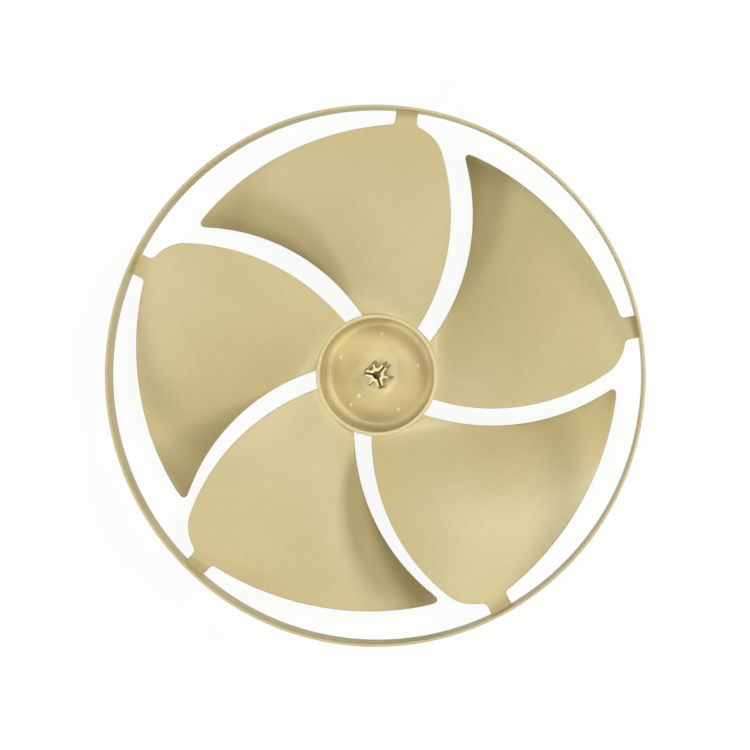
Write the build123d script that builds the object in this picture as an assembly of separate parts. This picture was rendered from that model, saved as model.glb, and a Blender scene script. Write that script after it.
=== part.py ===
from build123d import *
import os
from math import atan2, cos, degrees, hypot, pi, radians, sin, tan

# Axial fan wheel moulded in one piece: hub cup, split clamping boss, five blades and a thin outer ring.
# Millimetres and degrees. Z is the fan axis, z = 0 is the back of the hub, and the cup opens towards +Z.

# Outer ring
ring_diameter = 400.0
ring_wall = 2.0
ring_height = 20.5
ring_top = 78.0
ring_draft = 1.0

# Hub cup, with a floor of even thickness that rises to the boss
hub_diameter = 92.8
hub_height = 36.0
hub_wall = 3.2
hub_draft = 1.5
hub_edge_break = 0.8
floor_thickness = 3.0
floor_rise = 8.0
floor_corner_radius = 9.0
floor_valley_width = 11.2
rise_top_radius = 13.0

# Split boss: three jaws with fins round a blind bore, which goes a little deeper than the cup floor
bore_diameter = 6.0
jaw_diameter = 11.0
boss_height = 36.0
boss_foot = 2.0
jaw_count = 3
slot_width = 1.6
slot_reach = 4.8
slot_angle = 48.0
fin_thickness = 1.7
fin_reach = 9.8
fin_spread = 1.6

# Blades, seen from +Z: the near edge rises to the ring, and the far edge droops towards the back.
# Angles are about the fan axis, and gaps are measured inwards from the inside of the ring.
blade_count = 5
blade_thickness = 2.2
near_root_angle = 120.6
near_middle_angle = 133.6
near_tip_angle = 149.0
near_tip_gap = 7.0
outer_middle_angle = 182.0
outer_middle_gap = 16.2
far_tip_angle = 213.4
far_tip_gap = 15.2
far_middle_angle = 196.8
far_root_angle = 175.0
near_corner_radius = 25.0
far_corner_radius = 4.0

# Net that pulls the blade surface into shape: heights from the hub rim, the ring top and the back of the hub,
# and where they level off
near_root_drop = 2.6
near_tip_drop = 11.0
near_crest_gap = 29.7
far_root_rise = 5.3
far_tip_height = 1.2
far_fall_length = 44.6
straight_share_root = -0.85
straight_share_tip = 0.65
droop_power = 4
net_steps = 5

# Corners of the patch that carries the surface: a share of the hub or ring radius, and degrees past the blade
patch_near_root = (1.44, -28.8)
patch_near_tip = (1.18, -5.1)
patch_far_tip = (1.09, 2.1)
patch_far_root = (1.18, 17.0)

# Tab that ties each blade tip to the ring
tab_angle = 154.7
tab_width = 16.4
tab_corner_radius = 2.5

hub_radius = hub_diameter / 2
ring_radius = ring_diameter / 2
ring_inside = ring_radius - ring_wall
root_radius = hub_radius - hub_wall / 2
near_tip_radius = ring_inside - near_tip_gap
outer_radius = ring_inside - outer_middle_gap
far_tip_radius = ring_inside - far_tip_gap
blade_pitch = 360 / blade_count
jaw_pitch = 360 / jaw_count


def polar(radius, angle):
    return Vector(radius * cos(radians(angle)), radius * sin(radians(angle)))


def ring():
    """Thin band that carries the blade tips, with a little draft on its inside."""
    bottom = ring_top - ring_height
    outline = Polyline(
        (ring_inside, ring_top),
        (ring_radius, ring_top),
        (ring_radius, bottom),
        (ring_inside - ring_height * tan(radians(ring_draft)), bottom),
        close=True,
    )
    return revolve(Plane.XZ * make_face(outline), Axis.Z)


def hub():
    """Cup with drafted walls, and a floor that rises to the boss and leaves a recess on the back."""
    lean = hub_height * tan(radians(hub_draft))
    rim_inside = hub_radius - hub_wall
    foot = hub_radius - lean
    foot_inside = rim_inside - lean
    rise_foot = foot_inside - floor_valley_width
    raised = floor_thickness + floor_rise
    outline = Polyline(
        (0, floor_rise),
        (rise_top_radius, floor_rise),
        (rise_foot, 0),
        (foot, 0),
        (hub_radius, hub_height),
        (rim_inside, hub_height),
        (foot_inside, floor_thickness),
        (rise_foot, floor_thickness),
        (rise_top_radius, raised),
        (0, raised),
        close=True,
    )
    section = make_face(outline)
    for corner in [(foot, 0), (hub_radius, hub_height), (rim_inside, hub_height)]:
        section = chamfer(section.vertices().sort_by_distance(corner)[0], hub_edge_break)
    floor_corner = section.vertices().sort_by_distance((foot_inside, floor_thickness))[0]
    return revolve(Plane.XZ * fillet(floor_corner, floor_corner_radius), Axis.Z)


def fin(angle, offset):
    """One upright rib of the boss, parallel to the given direction and set off sideways from it."""
    inside = (bore_diameter + jaw_diameter) / 4
    outline = Polyline(
        (inside, floor_rise),
        (fin_reach + fin_spread, floor_rise),
        (fin_reach, boss_height - fin_spread),
        (fin_reach - fin_spread, boss_height),
        (inside, boss_height),
        close=True,
    )
    rib = extrude(Plane.XZ * make_face(outline), fin_thickness / 2, both=True)
    return Rot(0, 0, angle) * Pos(0, offset, 0) * rib


def boss():
    """Sleeve round the bore with its fins, before it is split into jaws."""
    body = Pos(0, 0, boss_foot) * extrude(Circle(jaw_diameter / 2), boss_height - boss_foot)
    side = (slot_width + fin_thickness) / 2
    for jaw in range(jaw_count):
        slot = slot_angle + jaw * jaw_pitch
        body += [fin(slot, side), fin(slot, -side), fin(slot + jaw_pitch / 2, 0)]
    return body


def boss_cuts():
    """The blind shaft bore, and the slots that split the boss into jaws."""
    bore_depth = boss_height - boss_foot - floor_thickness
    split_depth = boss_height - floor_thickness - floor_rise
    split_reach = fin_reach + 2 * fin_spread
    cuts = Cylinder(bore_diameter / 2, bore_depth, align=(Align.CENTER, Align.CENTER, Align.MAX))
    for jaw in range(jaw_count):
        relief = Box(slot_reach, slot_width, bore_depth, align=(Align.MIN, Align.CENTER, Align.MAX))
        split = Box(split_reach, slot_width, split_depth, align=(Align.MIN, Align.CENTER, Align.MAX))
        cuts += Rot(0, 0, slot_angle + jaw * jaw_pitch) * (relief + split)
    return Pos(0, 0, boss_height) * cuts


def near_height(radius):
    """Height of the net along the near edge, which climbs from the hub and levels off at the tip."""
    root = hub_height - near_root_drop
    tip = ring_top - near_tip_drop
    crest = ring_inside - near_crest_gap
    return tip - (tip - root) * ((crest - radius) / (crest - hub_radius)) ** 2


def far_height(radius):
    """Height of the net along the far edge, which falls from the hub and runs level to the tip."""
    root = hub_height + far_root_rise
    share = min(max((radius - hub_radius) / far_fall_length, 0), 1)
    return root + (far_tip_height - root) * (1 - cos(pi * share)) / 2


def net_point(place):
    """Point of the blade's control net over a place in the plan."""
    radius = hypot(place.X, place.Y)
    out = (radius - hub_radius) / (outer_radius - hub_radius)
    near_angle = near_root_angle + (near_tip_angle - near_root_angle) * out
    far_angle = far_root_angle + (far_tip_angle - far_root_angle) * out
    turn = degrees(atan2(place.Y, place.X)) % 360
    across = min((turn - near_angle) / (far_angle - near_angle), 1)
    straight = straight_share_root + (straight_share_tip - straight_share_root) * out
    fall = straight * across + (1 - straight) * across**droop_power
    height = near_height(radius) + (far_height(radius) - near_height(radius)) * fall
    return Vector(place.X, place.Y, height)


def patch_corner(corner, radius, angle):
    return polar(corner[0] * radius, corner[1] + angle)


def blade_surface():
    """Twisted middle surface over a four-sided patch of the plan, larger all round than the blade."""
    near_root = patch_corner(patch_near_root, hub_radius, near_root_angle)
    near_tip = patch_corner(patch_near_tip, ring_radius, near_tip_angle)
    far_tip = patch_corner(patch_far_tip, ring_radius, far_tip_angle)
    far_root = patch_corner(patch_far_root, hub_radius, far_root_angle)
    shares = [step / net_steps for step in range(net_steps + 1)]
    net = []
    for out in shares:
        near = near_root + (near_tip - near_root) * out
        far = far_root + (far_tip - far_root) * out
        net.append([net_point(near + (far - near) * across) for across in shares])
    return Face.make_bezier_surface(net)


def tab_outline():
    """Plan of the tab, which ends inside the ring wall."""
    reach = ring_radius - ring_wall / 2
    strip = Rectangle(reach - outer_radius, tab_width, align=(Align.MAX, Align.CENTER))
    return Rot(0, 0, tab_angle) * Pos(reach, 0) * strip


def at_tab_root(corner):
    """Whether a corner of the plan is one where the tab leaves the blade."""
    place = Vector(corner.X, corner.Y).rotate(Axis.Z, -tab_angle)
    on_side = round(abs(place.Y) - tab_width / 2, 3) == 0
    return on_side and outer_radius < place.X < ring_inside


def blade_outline():
    """Plan of one blade with its tab, closed inside the hub wall."""
    near_root = polar(root_radius, near_root_angle)
    near_middle = polar((hub_radius + near_tip_radius) / 2, near_middle_angle)
    near_tip = polar(near_tip_radius, near_tip_angle)
    outer_middle = polar(outer_radius, outer_middle_angle)
    far_tip = polar(far_tip_radius, far_tip_angle)
    far_middle = polar((hub_radius + far_tip_radius) / 2, far_middle_angle)
    far_root = polar(root_radius, far_root_angle)
    root_middle = polar(root_radius, (near_root_angle + far_root_angle) / 2)
    edges = [
        ThreePointArc(near_root, near_middle, near_tip),
        ThreePointArc(near_tip, outer_middle, far_tip),
        ThreePointArc(far_tip, far_middle, far_root),
        ThreePointArc(far_root, root_middle, near_root),
    ]
    plan = make_face(Curve() + edges)
    plan = fillet(plan.vertices().sort_by_distance(near_tip)[0], near_corner_radius)
    plan = fillet(plan.vertices().sort_by_distance(far_tip)[0], far_corner_radius)
    plan += tab_outline()
    return fillet(plan.vertices().filter_by(at_tab_root), tab_corner_radius)


def blade():
    """One blade: the surface given its thickness, then trimmed to the plan."""
    underside = Pos(0, 0, -blade_thickness / 2) * blade_surface()
    return extrude(underside, blade_thickness, dir=(0, 0, 1)) & extrude(blade_outline(), ring_top)


one_blade = blade()
blades = [Rot(0, 0, index * blade_pitch) * one_blade for index in range(blade_count)]
wheel = hub() + blades + ring() + boss() - boss_cuts()

os.makedirs("parts", exist_ok=True)
export_step(wheel, "parts/fan_wheel.step")
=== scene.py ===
from math import atan2, comb, cos, degrees, hypot, pi, radians, sin, sqrt, tan

import bmesh
import bpy
from mathutils import Matrix, Vector


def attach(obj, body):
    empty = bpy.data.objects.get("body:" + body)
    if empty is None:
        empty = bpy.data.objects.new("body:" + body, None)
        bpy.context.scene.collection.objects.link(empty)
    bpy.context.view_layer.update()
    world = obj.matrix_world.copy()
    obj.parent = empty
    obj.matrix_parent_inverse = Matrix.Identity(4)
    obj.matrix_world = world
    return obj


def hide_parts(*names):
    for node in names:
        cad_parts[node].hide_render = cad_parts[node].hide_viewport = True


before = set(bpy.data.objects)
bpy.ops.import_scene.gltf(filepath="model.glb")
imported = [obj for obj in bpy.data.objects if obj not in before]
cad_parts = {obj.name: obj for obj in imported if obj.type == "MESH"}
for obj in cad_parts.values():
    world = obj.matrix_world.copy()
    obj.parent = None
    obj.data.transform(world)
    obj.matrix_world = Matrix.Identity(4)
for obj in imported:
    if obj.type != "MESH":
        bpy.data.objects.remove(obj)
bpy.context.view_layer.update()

# Axial fan wheel, moulded in one piece: a hub cup with a split boss, five twisted blades, the tabs at
# their tips and a thin outer ring. Sizes are in millimetres and degrees, as in the solid model.
MILLIMETRE = 0.001

# Outer ring
RING_RADIUS, RING_INSIDE, RING_TOP, RING_HEIGHT, RING_DRAFT = 200.0, 198.0, 78.0, 20.5, 1.0
RING_ROUND = 0.6
RING_STEPS = 288

# Hub cup: the floor's cone reaches further out on its upper side than on its lower side
HUB_RADIUS, HUB_HEIGHT, HUB_WALL, HUB_DRAFT = 46.4, 36.0, 3.2, 1.5
FLOOR_THICKNESS, FLOOR_RISE = 3.0, 8.0
RISE_TOP, RISE_FOOT, FLOOR_FOOT = 13.0, 31.0, 37.0
RIM_ROUND, HEEL_ROUND, CORNER_ROUND = 0.9, 1.6, 4.0
CONE_ROUND, CONE_TOP_ROUND, CONE_FOOT_ROUND = 3.0, 4.0, 2.0
BOSS_END_ROUND, BOSS_SEAT_ROUND = 0.6, 1.0
HUB_STEPS = 192

# Split boss: the cup keeps a hair inside the skin of the jaws, so that no two faces lie in one place
BORE_RADIUS, JAW_RADIUS, BOSS_HEIGHT, BOSS_FOOT = 3.0, 5.5, 36.0, 2.0
JAW_COUNT, SLOT_WIDTH, SLOT_ANGLE = 3, 1.6, 48.0
FIN_THICKNESS, FIN_REACH, FIN_SPREAD, FIN_ROUND = 1.7, 9.8, 1.6, 0.22
HALF_JAW = 180 / JAW_COUNT
# Angles from a jaw's middle fin to the corners of its sleeve, and to those of its bore
SLEEVE_ANGLES, BORE_ANGLES = (8.9, 15.0, 21.0, 27.0, 33.0), (44.5, 29.7, 14.8)
HAIR = 0.02

# Marks of the mould on the cup floor
PIN_COUNT, PIN_CIRCLE, PIN_ANGLE, PIN_RADIUS, PIN_LOW, PIN_HIGH = 5, 31.7, 12, 1.3, 3.0, 5.5
GATE_CIRCLE, GATE_ANGLE, GATE_RADIUS, GATE_LOW, GATE_HIGH = 22.0, 229, 1.4, 5.0, 9.2
MARK_SHIFT = Vector((-1.5, 0))
MARK_ROUND = 0.25
MARK_SIDES = 24

# Plan of a blade: angles and radii of its edges
BLADE_COUNT, BLADE_THICKNESS = 5, 2.2
ROOT_RADIUS = HUB_RADIUS - HUB_WALL / 2
NEAR_ROOT, NEAR_MIDDLE, NEAR_TIP = 120.6, 133.6, 149.0
FAR_ROOT, FAR_MIDDLE, FAR_TIP = 175.0, 196.8, 213.4
OUTER_MIDDLE = 182.0
NEAR_TIP_RADIUS, OUTER_RADIUS, FAR_TIP_RADIUS = 191.0, 181.8, 182.8
# Corner radii, and the rough lengths of the side and outer edges that turn them into shares
NEAR_CORNER, FAR_CORNER = 22.0, 8.0
SIDE_LENGTH, OUTER_LENGTH = 160.0, 209.0
# The root blends into the hub wall, and inside the wall it stays covered by the rim
ROOT_BLEND, RIM_COVER, ROOT_MARGIN = 1.2, 1.2, 0.4
EDGE_ROUND = 0.7
BLADE_GRID, ROOT_CROWDING = 44, 1.4

# Net that pulls the blade surface into shape: heights from the hub rim, the ring top and the hub's back
NEAR_ROOT_DROP, NEAR_TIP_DROP, NEAR_CREST_GAP = 2.6, 11.0, 29.7
FAR_ROOT_RISE, FAR_TIP_HEIGHT, FAR_FALL_LENGTH = 5.3, 1.2, 44.6
STRAIGHT_ROOT, STRAIGHT_TIP, DROOP_POWER = -0.85, 0.65, 4
NET_STEPS = 5

# Tab that ties a blade tip to the ring; it leaves the blade at its root radius
TAB_ANGLE, TAB_WIDTH, TAB_ROUND = 154.7, 16.4, 2.5
TAB_OVERLAP, TAB_THINNING = 3.0, 0.1
TAB_ROOT_RADIUS = OUTER_RADIUS + 5.5
TAB_GRID_OUT, TAB_GRID_ACROSS = 14, 8

# Vertices closer than this are merged, and an edge is sharp past an angle in radians between its faces
WELD = 0.001
FIN_SHARP, BLADE_SHARP = 0.5, 0.9
# A blade's edge that climbs more than this share of the thickness is an upright one, and stays sharp
UPRIGHT_SHARE = 0.9
PROFILE_ROUND_STEPS, EDGE_ROUND_STEPS, SMALL_ROUND_STEPS = 7, 3, 2
NORMAL_WEIGHT = 80


def polar(radius, angle):
    return Vector((radius * cos(radians(angle)), radius * sin(radians(angle))))


def linear(hex_colour):
    """sRGB hex to linear RGBA."""
    parts = [int(hex_colour[i : i + 2], 16) / 255 for i in (1, 3, 5)]
    return [c / 12.92 if c <= 0.04045 else ((c + 0.055) / 1.055) ** 2.4 for c in parts] + [1.0]


def empty_tree(owner):
    """Clears the node tree of a material or world, and returns it."""
    owner.use_nodes = True
    owner.node_tree.nodes.clear()
    return owner.node_tree


def add_node(tree, kind, settings=None, inputs=None):
    """Adds a shader node; an input is a value, or another node's output socket."""
    node = tree.nodes.new(kind)
    for name, value in (settings or {}).items():
        setattr(node, name, value)
    for name, value in (inputs or {}).items():
        if isinstance(value, bpy.types.NodeSocket):
            tree.links.new(value, node.inputs[name])
        else:
            node.inputs[name].default_value = value
    return node


# Width of the pale and dark patches where the melt flowed, and of the finer clouds within them
FLOW_WIDTH, CLOUD_WIDTH, CLOUD_SHARE = 40.0, 4.0, 0.4
NOISE_DETAIL = 3.0
ABS_IOR = 1.53
GLOSSIEST, DULLEST = 0.38, 0.46


def moulded_abs(name, darker, paler):
    """Natural ABS, injection moulded: warm cream and satin, so that light spreads softly over it,
    with faint clouds where the melt flowed."""
    material = bpy.data.materials.new(name)
    tree = empty_tree(material)
    place = add_node(tree, "ShaderNodeTexCoord").outputs["Object"]
    flow, cloud = [
        add_node(
            tree, "ShaderNodeTexNoise", None,
            {"Vector": place, "Scale": 1 / (width * MILLIMETRE), "Detail": NOISE_DETAIL},
        ).outputs["Fac"]
        for width in (FLOW_WIDTH, CLOUD_WIDTH)
    ]
    mottle = add_node(tree, "ShaderNodeMix", None, {"Factor": CLOUD_SHARE, "A": flow, "B": cloud})
    tint = add_node(
        tree, "ShaderNodeMix", {"data_type": "RGBA"},
        {"Factor": mottle.outputs["Result"], "A": linear(darker), "B": linear(paler)},
    )
    gloss = add_node(
        tree, "ShaderNodeMapRange", None, {"Value": flow, "To Min": GLOSSIEST, "To Max": DULLEST}
    )
    surface = add_node(
        tree, "ShaderNodeBsdfPrincipled", None,
        {"Base Color": tint.outputs["Result"], "Roughness": gloss.outputs["Result"], "IOR": ABS_IOR},
    )
    add_node(tree, "ShaderNodeOutputMaterial", None, {"Surface": surface.outputs["BSDF"]})
    return material


plastic = moulded_abs("moulded_cream_abs", "#BFAE79", "#D2C490")
# Paler cream for the mould marks, a painted highlight: it stands in for the light that their raised tops
# catch
painted_highlight_plastic = moulded_abs("painted_highlight_cream_abs", "#D3C592", "#E2D5A4")


def in_scene(name, data):
    thing = bpy.data.objects.new(name, data)
    bpy.context.scene.collection.objects.link(thing)
    return thing


def mesh_object(name, bm, material):
    mesh = bpy.data.meshes.new(name)
    bm.to_mesh(mesh)
    bm.free()
    mesh.materials.append(material)
    return in_scene(name, mesh)


def finish_piece(name, bm, material=plastic):
    """Turns a mesh in millimetres into a smooth plastic piece of the wheel."""
    bmesh.ops.scale(bm, vec=(MILLIMETRE, MILLIMETRE, MILLIMETRE), verts=bm.verts)
    for face in bm.faces:
        face.smooth = True
    piece = mesh_object(name, bm, material)
    even = piece.modifiers.new("even_shading", "WEIGHTED_NORMAL")
    even.weight = NORMAL_WEIGHT
    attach(piece, "root")
    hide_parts("fan_wheel")


def rounded(bm, geom, radius, steps, affect="EDGES", clamp_overlap=False):
    bmesh.ops.bevel(
        bm, geom=geom, offset=radius, affect=affect, segments=steps, profile=0.5, material=-1,
        clamp_overlap=clamp_overlap,
    )


def turned(corners, closed, steps):
    """Spins a profile of (radius, height, rounding) corners about the fan axis."""
    bm = bmesh.new()
    verts = [bm.verts.new((radius, 0, height)) for radius, height, rounding in corners]
    for start, end in zip(verts, verts[1:]):
        bm.edges.new((start, end))
    if closed:
        bm.edges.new((verts[-1], verts[0]))
    for vert, (radius, height, rounding) in zip(verts, corners):
        if rounding:
            rounded(bm, [vert], rounding, PROFILE_ROUND_STEPS, affect="VERTICES")
    bmesh.ops.spin(
        bm, geom=bm.verts[:] + bm.edges[:], axis=(0, 0, 1), cent=(0, 0, 0),
        angle=2 * pi, steps=steps, use_merge=True,
    )
    bmesh.ops.remove_doubles(bm, verts=bm.verts, dist=WELD)
    bmesh.ops.recalc_face_normals(bm, faces=bm.faces)
    return bm


def repeat(bm, count):
    """Copies a mesh round the fan axis, to make that many in all."""
    bmesh.ops.spin(
        bm, geom=bm.verts[:] + bm.edges[:] + bm.faces[:], axis=(0, 0, 1), cent=(0, 0, 0),
        angle=2 * pi * (count - 1) / count, steps=count - 1, use_duplicate=True,
    )


def outer_ring():
    """Thin band with a little draft on its inside."""
    bottom = RING_TOP - RING_HEIGHT
    inside = RING_INSIDE - RING_HEIGHT * tan(radians(RING_DRAFT))
    corners = [
        (RING_INSIDE, RING_TOP, RING_ROUND),
        (RING_RADIUS, RING_TOP, RING_ROUND),
        (RING_RADIUS, bottom, RING_ROUND),
        (inside, bottom, RING_ROUND),
    ]
    finish_piece("outer_ring", turned(corners, True, RING_STEPS))


def hub_cup():
    """Cup with a floor that rises to the boss.

    The profile runs from under the boss along the back, round the rim and along the floor to the bore.
    """
    lean = HUB_HEIGHT * tan(radians(HUB_DRAFT))
    rim_inside = HUB_RADIUS - HUB_WALL
    raised = FLOOR_THICKNESS + FLOOR_RISE
    sleeve = JAW_RADIUS - HAIR
    bore = BORE_RADIUS + HAIR
    bore_end = BOSS_FOOT + FLOOR_THICKNESS
    corners = [
        (0, BOSS_FOOT, 0),
        (sleeve, BOSS_FOOT, BOSS_END_ROUND),
        (sleeve, FLOOR_RISE, BOSS_SEAT_ROUND),
        (RISE_TOP, FLOOR_RISE, CONE_ROUND),
        (RISE_FOOT, 0, CONE_ROUND),
        (HUB_RADIUS - lean, 0, HEEL_ROUND),
        (HUB_RADIUS, HUB_HEIGHT, RIM_ROUND),
        (rim_inside, HUB_HEIGHT, RIM_ROUND),
        (rim_inside - lean, FLOOR_THICKNESS, CORNER_ROUND),
        (FLOOR_FOOT, FLOOR_THICKNESS, CONE_FOOT_ROUND),
        (RISE_TOP, raised, CONE_TOP_ROUND),
        (bore, raised, 0),
        (bore, bore_end, 0),
        (0, bore_end, 0),
    ]
    finish_piece("hub_cup", turned(corners, False, HUB_STEPS))


def jaw_outline():
    """Plan of one jaw about its middle fin, which points along X."""
    half_fin, half_slot = FIN_THICKNESS / 2, SLOT_WIDTH / 2
    past_fin = half_slot + FIN_THICKNESS
    along_slot = polar(1, HALF_JAW)
    into_jaw = Vector((along_slot.y, -along_slot.x))
    base = FIN_REACH + FIN_SPREAD
    side = [Vector((base, half_fin))]
    side += [polar(JAW_RADIUS, angle) for angle in SLEEVE_ANGLES]
    side += [along_slot * base + into_jaw * gap for gap in (past_fin, half_slot)]
    side += [polar(BORE_RADIUS, angle) for angle in BORE_ANGLES]
    return side + [Vector((BORE_RADIUS, 0))] + [Vector((p.x, -p.y)) for p in reversed(side)]


def clamp_jaws():
    """Three jaws with fins, each raised from its plan in two steps that draw the fins' ends in."""
    bm = bmesh.new()
    foot = FLOOR_RISE + FLOOR_THICKNESS / 2
    only_fins = (JAW_RADIUS + FIN_REACH) / 2
    face = bm.faces.new([bm.verts.new((p.x, p.y, foot)) for p in jaw_outline()])
    for height in (BOSS_HEIGHT - FIN_SPREAD, BOSS_HEIGHT):
        grown = bmesh.ops.extrude_face_region(bm, geom=[face])["geom"]
        face = next(item for item in grown if isinstance(item, bmesh.types.BMFace))
        for vert in face.verts:
            vert.co.z = height
            if hypot(vert.co.x, vert.co.y) > only_fins:
                fin = round(degrees(atan2(vert.co.y, vert.co.x)) / HALF_JAW)
                vert.co.xy -= polar(FIN_SPREAD, fin * HALF_JAW)
    bmesh.ops.recalc_face_normals(bm, faces=bm.faces)
    rims = [
        edge for edge in bm.edges
        if edge.calc_face_angle(0) > FIN_SHARP and edge.verts[0].co.z > FLOOR_RISE + FLOOR_THICKNESS
    ]
    rounded(bm, rims, FIN_ROUND, SMALL_ROUND_STEPS, clamp_overlap=True)
    to_middle_fin = Matrix.Rotation(radians(SLOT_ANGLE + HALF_JAW), 3, "Z")
    bmesh.ops.rotate(bm, verts=bm.verts, cent=(0, 0, 0), matrix=to_middle_fin)
    repeat(bm, JAW_COUNT)
    finish_piece("clamp_jaws", bm)


def mould_marks():
    """Ejector pin marks on the cup floor, and the stub where the plastic went in."""
    pitch = 360 / PIN_COUNT
    marks = [(PIN_CIRCLE, PIN_ANGLE + pitch * k, PIN_RADIUS, PIN_LOW, PIN_HIGH) for k in range(PIN_COUNT)]
    marks.append((GATE_CIRCLE, GATE_ANGLE, GATE_RADIUS, GATE_LOW, GATE_HIGH))
    bm = bmesh.new()
    for circle, angle, radius, low, high in marks:
        stub = bmesh.ops.create_cone(
            bm, cap_ends=True, segments=MARK_SIDES, radius1=radius, radius2=radius, depth=high - low
        )["verts"]
        top = [edge for edge in bm.edges if all(v in stub and v.co.z > 0 for v in edge.verts)]
        spot = polar(circle, angle) + MARK_SHIFT
        bmesh.ops.translate(bm, verts=stub, vec=(spot.x, spot.y, (low + high) / 2))
        rounded(bm, top, MARK_ROUND, SMALL_ROUND_STEPS)
    # The marks get the paler cream, which paints a highlight on them
    finish_piece("mould_marks", bm, painted_highlight_plastic)


def arc_through(start, middle, end):
    """Returns a function from 0..1 to a point on the arc through three points."""
    ax, ay = middle - start
    bx, by = end - start
    twist = 2 * (ax * by - ay * bx)
    aa, bb = ax * ax + ay * ay, bx * bx + by * by
    centre = start + Vector((by * aa - ay * bb, ax * bb - bx * aa)) / twist
    first, last = start - centre, end - centre
    sweep = atan2(first.x * last.y - first.y * last.x, first.dot(last))

    def at(share):
        return centre + Matrix.Rotation(sweep * share, 2) @ first

    return at


near_edge = arc_through(
    polar(ROOT_RADIUS, NEAR_ROOT),
    polar((HUB_RADIUS + NEAR_TIP_RADIUS) / 2, NEAR_MIDDLE),
    polar(NEAR_TIP_RADIUS, NEAR_TIP),
)
far_edge = arc_through(
    polar(ROOT_RADIUS, FAR_ROOT),
    polar((HUB_RADIUS + FAR_TIP_RADIUS) / 2, FAR_MIDDLE),
    polar(FAR_TIP_RADIUS, FAR_TIP),
)
outer_edge = arc_through(
    polar(NEAR_TIP_RADIUS, NEAR_TIP),
    polar(OUTER_RADIUS, OUTER_MIDDLE),
    polar(FAR_TIP_RADIUS, FAR_TIP),
)
root_edge = arc_through(
    polar(ROOT_RADIUS, NEAR_ROOT),
    polar(ROOT_RADIUS, (NEAR_ROOT + FAR_ROOT) / 2),
    polar(ROOT_RADIUS, FAR_ROOT),
)


def soften(out, across):
    """Rounds the two tip corners of the blade plan.

    Each corner is a square of shares, whose points move in until the square is a quarter circle.
    """
    for far, radius in ((False, NEAR_CORNER), (True, FAR_CORNER)):
        edge = 1 - across if far else across
        along, aside = 1 - radius / SIDE_LENGTH, radius / OUTER_LENGTH
        p, q = (out - along) / (1 - along), (aside - edge) / aside
        if p > 0 and q > 0:
            reach, turn = max(p, q), pi / 4 * min(p, q) / max(p, q)
            big, small = reach * cos(turn), reach * sin(turn)
            p, q = (big, small) if p >= q else (small, big)
            out, edge = along + p * (1 - along), aside - q * aside
            across = 1 - edge if far else edge
    return out, across


def plan_point(out, across):
    """Place in the plan of a blade: out from the hub, across from the near edge to the far edge.

    The four edges span it as a Coons patch.
    """
    out, across = soften(out, across)
    ruled = near_edge(out) * (1 - across) + far_edge(out) * across
    ruled += root_edge(across) * (1 - out) + outer_edge(across) * out
    ruled -= (near_edge(0) * (1 - across) + far_edge(0) * across) * (1 - out)
    ruled -= (near_edge(1) * (1 - across) + far_edge(1) * across) * out
    return ruled


# Corners of the four-sided patch of the plan that the blade's surface hangs over
PATCH_NEAR_ROOT = polar(1.44 * HUB_RADIUS, NEAR_ROOT - 28.8)
PATCH_NEAR_TIP = polar(1.18 * RING_RADIUS, NEAR_TIP - 5.1)
PATCH_FAR_TIP = polar(1.09 * RING_RADIUS, FAR_TIP + 2.1)
PATCH_FAR_ROOT = polar(1.18 * HUB_RADIUS, FAR_ROOT + 17)


def patch_point(u, v):
    """Place in the plan: u runs out from the hub, v from the near side to the far side."""
    near = PATCH_NEAR_ROOT.lerp(PATCH_NEAR_TIP, u)
    return near.lerp(PATCH_FAR_ROOT.lerp(PATCH_FAR_TIP, u), v)


def near_height(radius):
    """Height of the net along the near edge, which climbs from the hub and levels off at the tip."""
    root, tip = HUB_HEIGHT - NEAR_ROOT_DROP, RING_TOP - NEAR_TIP_DROP
    crest = RING_INSIDE - NEAR_CREST_GAP
    return tip - (tip - root) * ((crest - radius) / (crest - HUB_RADIUS)) ** 2


def far_height(radius):
    """Height of the net along the far edge, which falls from the hub and runs level to the tip."""
    root = HUB_HEIGHT + FAR_ROOT_RISE
    share = min(max((radius - HUB_RADIUS) / FAR_FALL_LENGTH, 0), 1)
    return root + (FAR_TIP_HEIGHT - root) * (1 - cos(pi * share)) / 2


def net_height(place):
    """Height of the net over a place in the plan; the droop gathers near the far edge."""
    radius = place.length
    out = (radius - HUB_RADIUS) / (OUTER_RADIUS - HUB_RADIUS)
    near_angle = NEAR_ROOT + (NEAR_TIP - NEAR_ROOT) * out
    far_angle = FAR_ROOT + (FAR_TIP - FAR_ROOT) * out
    turn = degrees(atan2(place.y, place.x)) % 360
    across = min((turn - near_angle) / (far_angle - near_angle), 1)
    straight = STRAIGHT_ROOT + (STRAIGHT_TIP - STRAIGHT_ROOT) * out
    fall = straight * across + (1 - straight) * across**DROOP_POWER
    near, far = near_height(radius), far_height(radius)
    return near + (far - near) * fall


shares = [step / NET_STEPS for step in range(NET_STEPS + 1)]
net = [[net_height(patch_point(u, v)) for v in shares] for u in shares]

# Newton's method starts in the middle of the patch, and measures slopes over a short step
NEWTON_START, NEWTON_STEPS, SLOPE_STEP = 0.5, 8, 0.01


def patch_shares(place):
    """Finds u and v of a place in the plan."""
    u = v = NEWTON_START
    for step in range(NEWTON_STEPS):
        here = patch_point(u, v)
        miss = place - here
        du = (patch_point(u + SLOPE_STEP, v) - here) / SLOPE_STEP
        dv = (patch_point(u, v + SLOPE_STEP) - here) / SLOPE_STEP
        area = du.x * dv.y - du.y * dv.x
        u += (miss.x * dv.y - miss.y * dv.x) / area
        v += (du.x * miss.y - du.y * miss.x) / area
    return u, v


def pulls(share):
    """How much each row of the net pulls on the surface: Bernstein polynomials."""
    return [comb(NET_STEPS, k) * share**k * (1 - share) ** (NET_STEPS - k) for k in range(NET_STEPS + 1)]


def blade_height(place):
    """Height of the blade's middle surface over a place in the plan."""
    u, v = patch_shares(place)
    along, aside = pulls(u), pulls(v)
    return sum(a * b * height for a, row in zip(along, net) for b, height in zip(aside, row))


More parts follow.
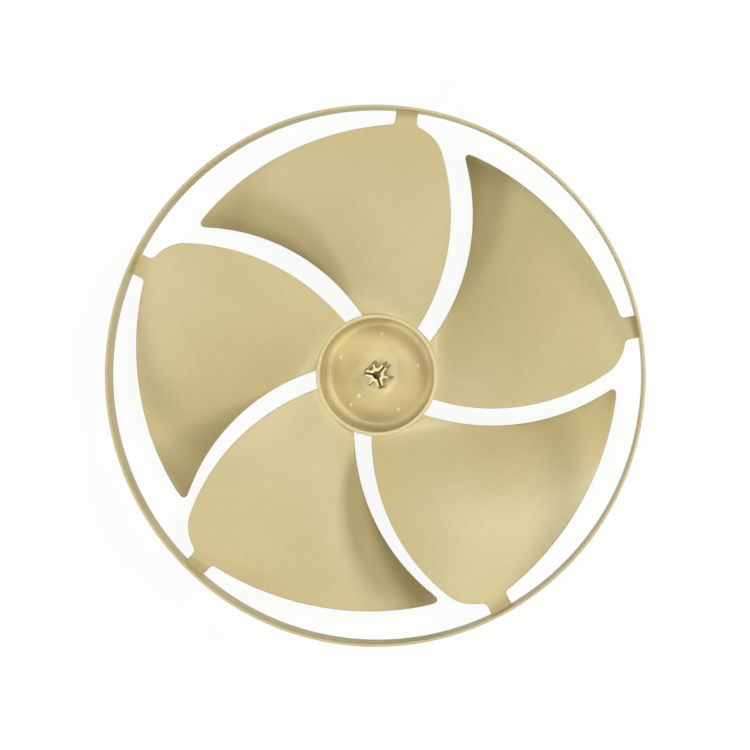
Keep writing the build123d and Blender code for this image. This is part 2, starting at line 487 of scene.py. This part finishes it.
def flare(gap, radius):
    """Sideways growth of a concave round, at a distance from the wall that it runs into."""
    gap = min(max(gap, 0), radius)
    return radius - sqrt(radius**2 - (radius - gap) ** 2)


def flat_sheet(out_steps, across_steps):
    """Flat grid whose x and y run from 0 to 1."""
    bm = bmesh.new()
    bmesh.ops.create_grid(bm, x_segments=out_steps, y_segments=across_steps, size=0.5)
    bmesh.ops.translate(bm, verts=bm.verts, vec=(0.5, 0.5, 0))
    return bm


def thicken(bm, thickness):
    """Turns a flat sheet in the plan into a solid that follows the blade surface, with rounded edges."""
    grown = bmesh.ops.extrude_face_region(bm, geom=bm.faces[:])["geom"]
    upper = {item for item in grown if isinstance(item, bmesh.types.BMVert)}
    for vert in bm.verts:
        place = vert.co.xy
        middle = blade_height(place)
        wall = HUB_RADIUS - (HUB_HEIGHT - middle) * tan(radians(HUB_DRAFT))
        side = thickness / 2 + flare(place.length - wall, ROOT_BLEND)
        vert.co.z = middle + side if vert in upper else middle - side
        if place.length < HUB_RADIUS:
            vert.co.z = min(vert.co.z, HUB_HEIGHT - RIM_COVER)
    bmesh.ops.recalc_face_normals(bm, faces=bm.faces)
    rims = [
        edge for edge in bm.edges
        if edge.calc_face_angle(0) > BLADE_SHARP
        and max(v.co.xy.length for v in edge.verts) > ROOT_RADIUS + ROOT_MARGIN
        and abs(edge.verts[0].co.z - edge.verts[1].co.z) < UPRIGHT_SHARE * thickness
    ]
    rounded(bm, rims, EDGE_ROUND, EDGE_ROUND_STEPS)


def blades():
    """Five twisted blades, with a finer mesh near the hub, where they bend most."""
    bm = flat_sheet(BLADE_GRID, BLADE_GRID)
    for vert in bm.verts:
        vert.co.xy = plan_point(vert.co.x**ROOT_CROWDING, vert.co.y)
    thicken(bm, BLADE_THICKNESS)
    repeat(bm, BLADE_COUNT)
    bmesh.ops.recalc_face_normals(bm, faces=bm.faces)
    finish_piece("blades", bm)


def tip_tabs():
    """Five tabs that carry the blade surface on into the ring, with a round where each leaves its blade."""
    bm = flat_sheet(TAB_GRID_OUT, TAB_GRID_ACROSS)
    inner, outer = OUTER_RADIUS - TAB_OVERLAP, (RING_RADIUS + RING_INSIDE) / 2
    to_tip = Matrix.Rotation(radians(TAB_ANGLE), 2)
    for vert in bm.verts:
        reach = inner + (outer - inner) * vert.co.x
        width = TAB_WIDTH + 2 * flare(reach - TAB_ROOT_RADIUS, TAB_ROUND)
        vert.co.xy = to_tip @ Vector((reach, (vert.co.y - 0.5) * width))
    thicken(bm, BLADE_THICKNESS - TAB_THINNING)
    repeat(bm, BLADE_COUNT)
    bmesh.ops.recalc_face_normals(bm, faces=bm.faces)
    finish_piece("tip_tabs", bm)


outer_ring()
hub_cup()
clamp_jaws()
mould_marks()
blades()
tip_tabs()

# Studio, in metres: the paper lies a little below the hub's back, so that the two don't share a plane
PAPER_REACH, PAPER_GAP = 6.0, 0.0002
SHADOW_SHARE = 0.08
WHITE = (1, 1, 1, 1)
WHITE_LIGHT, FILL_LIGHT = 1.0, 0.02
LAMP_REACH = 1.9
BOX_SIZE, BOX_AIM = 0.5, 0.04
SNOOT_SIZE, SNOOT_BLEND, SNOOT_AIM = 0.012, 0.05, 0.025


def background_rays(tree):
    """Socket that is 1 for the rays that show the white background: camera, glossy and transmission."""
    rays = add_node(tree, "ShaderNodeLightPath")
    seen = rays.outputs["Is Camera Ray"]
    for kind in ("Is Glossy Ray", "Is Transmission Ray"):
        both = {0: seen, 1: rays.outputs[kind]}
        seen = add_node(tree, "ShaderNodeMath", {"operation": "MAXIMUM"}, both).outputs[0]
    return seen


def white_paper():
    """Matt paper, which shows as white and keeps a faint share of the shadow on it."""
    paper = bpy.data.materials.new("white_paper")
    tree = empty_tree(paper)
    matt = add_node(tree, "ShaderNodeBsdfDiffuse", None, {"Color": linear("#F4F4F2")}).outputs[0]
    glow = add_node(tree, "ShaderNodeEmission", None, {"Color": WHITE, "Strength": WHITE_LIGHT}).outputs[0]
    shaded = add_node(tree, "ShaderNodeMixShader", None, {"Fac": SHADOW_SHARE, 1: glow, 2: matt}).outputs[0]
    mix = add_node(tree, "ShaderNodeMixShader", None, {"Fac": background_rays(tree), 1: matt, 2: shaded})
    add_node(tree, "ShaderNodeOutputMaterial", None, {"Surface": mix.outputs[0]})
    return paper


def paper_floor():
    bm = bmesh.new()
    bmesh.ops.create_grid(bm, x_segments=1, y_segments=1, size=PAPER_REACH)
    bmesh.ops.translate(bm, verts=bm.verts, vec=(0, 0, -PAPER_GAP))
    mesh_object("floor", bm, white_paper())


def surround():
    """White world, which adds only a little light to the wheel."""
    world = bpy.data.worlds.new("studio")
    bpy.context.scene.world = world
    tree = empty_tree(world)
    fill, white = [
        add_node(tree, "ShaderNodeBackground", None, {"Color": WHITE, "Strength": strength}).outputs[0]
        for strength in (FILL_LIGHT, WHITE_LIGHT)
    ]
    mix = add_node(tree, "ShaderNodeMixShader", None, {"Fac": background_rays(tree), 1: fill, 2: white})
    add_node(tree, "ShaderNodeOutputWorld", None, {"Surface": mix.outputs[0]})


def hang(lamp, turn, rise, height):
    """Puts a lamp at the studio's reach from a point on the fan axis, and aims it there."""
    flat = polar(LAMP_REACH * cos(radians(rise)), turn)
    offset = Vector((flat.x, flat.y, LAMP_REACH * sin(radians(rise))))
    stand = in_scene(lamp.name, lamp)
    stand.location = Vector((0, 0, height)) + offset
    stand.rotation_euler = (-offset).to_track_quat("-Z", "Y").to_euler()


def soft_boxes():
    """Square lamps round the wheel: turn about the fan axis, rise above the floor, and power in watts."""
    for name, turn, rise, power in (
        ("key_upper_right", 45, 63, 13.8),
        ("key_lower_left", 225, 62, 7.3),
        ("low_left", 220, 34, 5.0),
        ("side_right", 0, 34, 11.0),
        ("side_left", 180, 42, 5.4),
        ("top_lower_right", 315, 62, 3.6),
    ):
        lamp = bpy.data.lights.new(name, "AREA")
        lamp.shape = "SQUARE"
        lamp.size = BOX_SIZE
        lamp.energy = power
        hang(lamp, turn, rise, BOX_AIM)


def snoots():
    """Narrow lamps for the inside of the hub cup: its floor from straight above, its wall from lower down."""
    for name, turn, rise, cone, power in (
        ("hub_above", 0, 90, 2.9, 27.0),
        ("hub_left", 190, 40, 1.8, 12.0),
        ("hub_low", 270, 40, 1.8, 12.0),
        ("hub_right", 350, 40, 1.8, 17.0),
    ):
        lamp = bpy.data.lights.new(name, "SPOT")
        lamp.energy = power
        lamp.spot_size = radians(cone)
        lamp.spot_blend = SNOOT_BLEND
        lamp.shadow_soft_size = SNOOT_SIZE
        hang(lamp, turn, rise, SNOOT_AIM)


# Camera: the photograph's frame in pixels, its scale at the ring's top, and its lean off the fan axis
FRAME_PIXELS, PIXELS_PER_MILLIMETRE = 750, 1.3563
SHIFT_X, SHIFT_Y = 2.5, 1.8
LEAN_X, LEAN_Y = 1.66, -4.38
CAMERA_REACH = 1500.0
SENSOR = 36.0


def camera():
    """Looks down on the open side of the hub, a little off the axis."""
    lean = Matrix.Rotation(radians(LEAN_Y), 3, "Y") @ Matrix.Rotation(radians(LEAN_X), 3, "X")
    to_world = lean.transposed()
    lens = bpy.data.cameras.new("camera")
    lens.sensor_width = SENSOR
    lens.lens = SENSOR * PIXELS_PER_MILLIMETRE * CAMERA_REACH / FRAME_PIXELS
    lens.shift_x = SHIFT_X / FRAME_PIXELS
    lens.shift_y = SHIFT_Y / FRAME_PIXELS
    spot = Vector((0, 0, RING_TOP)) + to_world @ Vector((0, 0, CAMERA_REACH))
    view = in_scene("camera", lens)
    view.matrix_world = Matrix.Translation(spot * MILLIMETRE) @ to_world.to_4x4()
    bpy.context.scene.camera = view


paper_floor()
surround()
soft_boxes()
snoots()
camera()
bpy.context.scene.view_settings.view_transform = "Standard"
